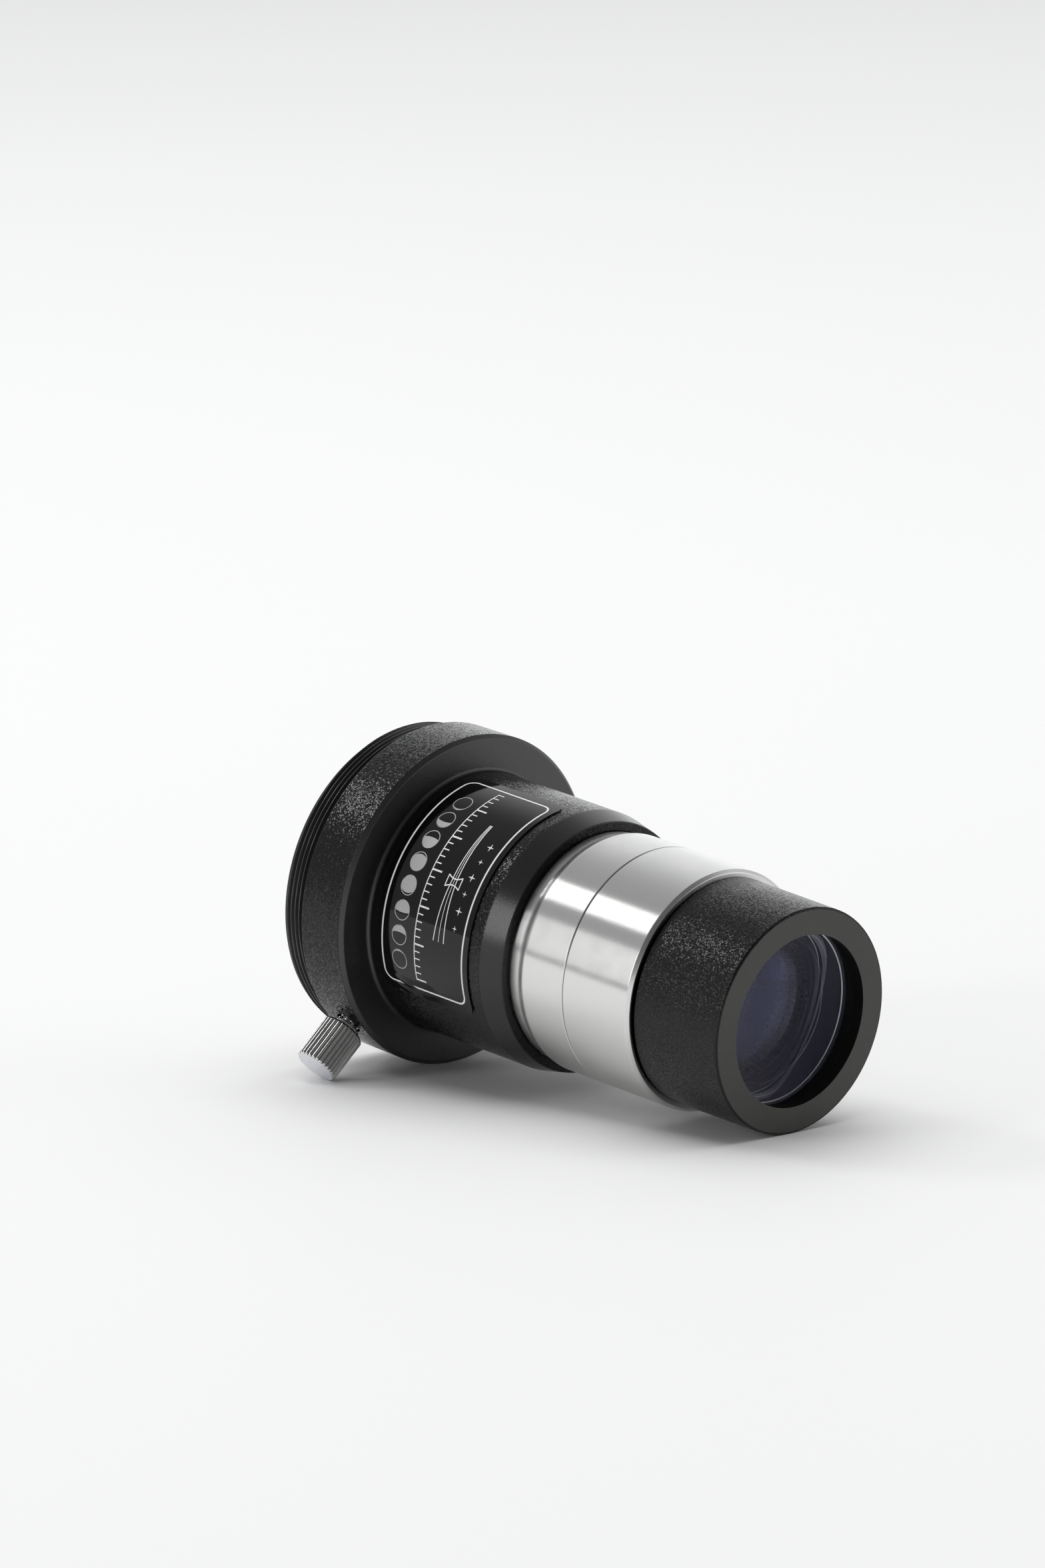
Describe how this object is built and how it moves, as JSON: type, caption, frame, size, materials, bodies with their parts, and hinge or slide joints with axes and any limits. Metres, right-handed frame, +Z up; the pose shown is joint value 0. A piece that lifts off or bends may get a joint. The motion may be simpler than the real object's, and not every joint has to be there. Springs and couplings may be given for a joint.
{
  "type": "barlow lens",
  "caption": "2x barlow lens with a silver nosepiece, black adapter body with a T-thread flange, thumbscrew eyepiece clamp and screw-off lens cell.",
  "frame": {"origin": "centre of the footprint of the lens as it lies on a table, at the level of the table", "axes": "+Z up; +X along the lens towards its nose, whose optical axis dips 6.8 degrees below +X; +Y away from the side that the thumbscrew and the label are on"},
  "size_m": [0.077, 0.045, 0.0445],
  "materials": {
    "body_black": "satin black anodised aluminium with a fine sandy grain",
    "cell_black": "matt black anodised aluminium",
    "inner_black": "flat black inside",
    "barrel_silver": "satin turned",
    "screw_chrome": "bright plated, straight knurl",
    "tip_nylon": "natural nylon",
    "spacer_metal": "bright ring",
    "coated_glass": "polished, blue-violet anti-reflection coating",
    "label": "glossy black sticker with light print"
  },
  "bodies": {
    "adapter": {"adapter_body": "body_black", "body_label": "label", "barrel_rear_section": "barrel_silver", "barrel_front_section": "barrel_silver"},
    "lens_group": {"negative_element": "coated_glass", "meniscus_element": "coated_glass", "element_spacer": "spacer_metal"},
    "cell": {"lens_cell": "cell_black", "retaining_ring": "inner_black", "light_baffle": "inner_black"},
    "screw_tip": {"thumbscrew_tip": "tip_nylon"},
    "screw": {"thumbscrew": "screw_chrome"}
  },
  "joints": [
    {"name": "cell_travel", "type": "slide", "parent": "adapter", "child": "lens_group", "axis": [0.9931, 0, -0.1176], "range_m": [0, 0.003]},
    {"name": "cell_turn", "type": "hinge", "parent": "lens_group", "child": "cell", "pos_m": [0.02205, 0.00044, 0.01641], "axis": [0.9931, 0, -0.1176], "range_deg": [0, 1800]},
    {"name": "screw_travel", "type": "slide", "parent": "adapter", "child": "screw_tip", "axis": [-0.082, -0.717, -0.6922], "range_m": [-0.00035, 0.0015]},
    {"name": "screw_turn", "type": "hinge", "parent": "screw_tip", "child": "screw", "pos_m": [-0.02746, 0.00044, 0.02227], "axis": [-0.082, -0.717, -0.6922], "range_deg": [-252, 1080]}
  ],
  "couplings": [
    {"joint": "cell_turn", "follows": "cell_travel", "rad_per_m": 10472},
    {"joint": "screw_turn", "follows": "screw_travel", "rad_per_m": 12566}
  ]
}
